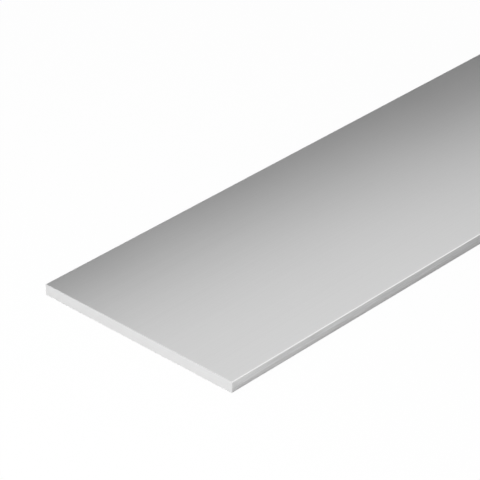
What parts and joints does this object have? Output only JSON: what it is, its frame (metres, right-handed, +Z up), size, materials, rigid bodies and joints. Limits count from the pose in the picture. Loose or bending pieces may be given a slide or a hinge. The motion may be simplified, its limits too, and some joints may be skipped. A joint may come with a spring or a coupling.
{
  "type": "aluminium strip",
  "caption": "Long flat aluminium bar with softly rounded long edges and square sawn ends, stock for trim, cover strips, framing and brackets.",
  "frame": {"origin": "middle of the underside, on the surface that the strip lies on", "axes": "+X along the length, +Y across the width, +Z up through the thickness"},
  "size_m": [1, 0.1, 0.005],
  "materials": {
    "satin_aluminium": "satin silver skin, with bare bright metal on the sawn ends"
  },
  "bodies": {
    "root": {"strip": "satin_aluminium"}
  },
  "joints": []
}
